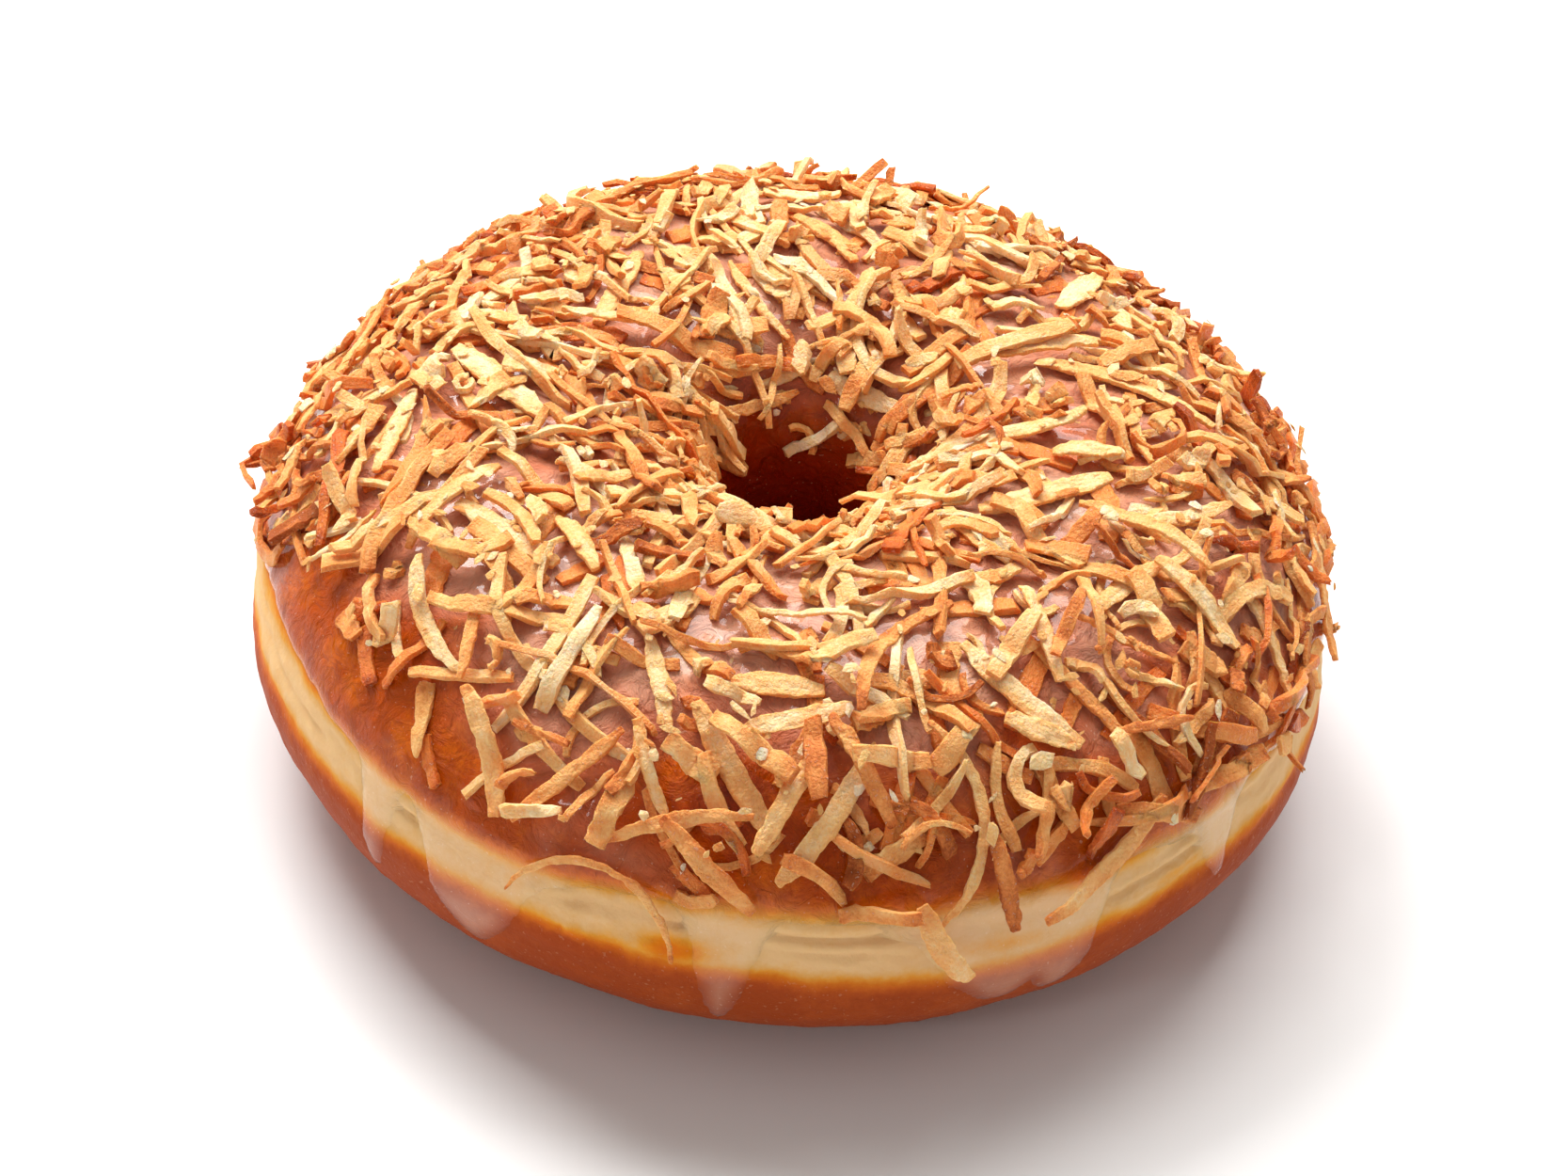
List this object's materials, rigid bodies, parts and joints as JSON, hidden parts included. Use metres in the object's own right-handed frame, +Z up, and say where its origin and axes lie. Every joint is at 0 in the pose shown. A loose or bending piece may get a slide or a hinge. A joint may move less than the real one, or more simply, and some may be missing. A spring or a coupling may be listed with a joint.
{
  "type": "ring doughnut",
  "caption": "Fried ring doughnut with a sugar glaze over its top and toasted coconut shreds stuck in the glaze; stands on its flat foot.",
  "frame": {"origin": "on the table under the centre of the hole", "axes": "+Z up along the ring's axis, front towards -Y"},
  "size_m": [0.0939, 0.0962, 0.0371],
  "materials": {
    "fried_dough": "fried crust, amber on top and red-brown below, with a pale cream band round the side",
    "sugar_glaze": "set sugar glaze, glossy, clear where thin and milky pink where thick",
    "pale_coconut": "lightly toasted coconut, dry and grainy",
    "golden_coconut": "golden toasted coconut, dry and grainy",
    "toasted_coconut": "dark toasted coconut, dry and grainy"
  },
  "bodies": {
    "root": {"dough_ring": "fried_dough", "glaze": "sugar_glaze", "coconut_shred_01": "pale_coconut", "coconut_shred_02": "golden_coconut", "coconut_shred_03": "pale_coconut", "coconut_shred_04": "toasted_coconut", "coconut_shred_05": "pale_coconut", "coconut_shred_06": "toasted_coconut", "coconut_shred_07": "pale_coconut", "coconut_shred_08": "golden_coconut", "coconut_shred_09": "golden_coconut", "coconut_shred_10": "pale_coconut", "coconut_shred_11": "golden_coconut", "coconut_shred_12": "golden_coconut", "coconut_shred_13": "pale_coconut", "coconut_shred_14": "pale_coconut", "coconut_shred_15": "golden_coconut", "coconut_shred_16": "golden_coconut", "coconut_shred_17": "golden_coconut", "coconut_shred_18": "golden_coconut", "coconut_shred_19": "pale_coconut", "coconut_shred_20": "toasted_coconut", "coconut_shred_21": "toasted_coconut", "coconut_shred_22": "golden_coconut", "coconut_shred_23": "pale_coconut", "coconut_shred_24": "toasted_coconut", "coconut_shred_25": "golden_coconut", "coconut_shred_26": "pale_coconut", "coconut_shred_27": "pale_coconut", "coconut_shred_28": "pale_coconut", "coconut_shred_29": "toasted_coconut", "coconut_shred_30": "golden_coconut", "coconut_shred_31": "toasted_coconut", "coconut_shred_32": "golden_coconut", "coconut_shred_33": "golden_coconut", "coconut_shred_34": "pale_coconut", "coconut_shred_35": "toasted_coconut", "coconut_shred_36": "pale_coconut", "coconut_shred_37": "golden_coconut", "coconut_shred_38": "golden_coconut", "coconut_shred_39": "golden_coconut", "coconut_shred_40": "pale_coconut", "coconut_shred_41": "golden_coconut", "coconut_shred_42": "golden_coconut", "coconut_shred_43": "pale_coconut", "coconut_shred_44": "toasted_coconut", "coconut_shred_45": "pale_coconut", "coconut_shred_46": "toasted_coconut", "coconut_shred_47": "pale_coconut", "coconut_shred_48": "pale_coconut", "coconut_shred_49": "pale_coconut", "coconut_shred_50": "golden_coconut", "coconut_shred_51": "toasted_coconut", "coconut_shred_52": "toasted_coconut", "coconut_shred_53": "golden_coconut", "coconut_shred_54": "pale_coconut", "coconut_shred_55": "golden_coconut", "coconut_shred_56": "pale_coconut", "coconut_shred_57": "golden_coconut", "coconut_shred_58": "pale_coconut"}
  },
  "joints": []
}
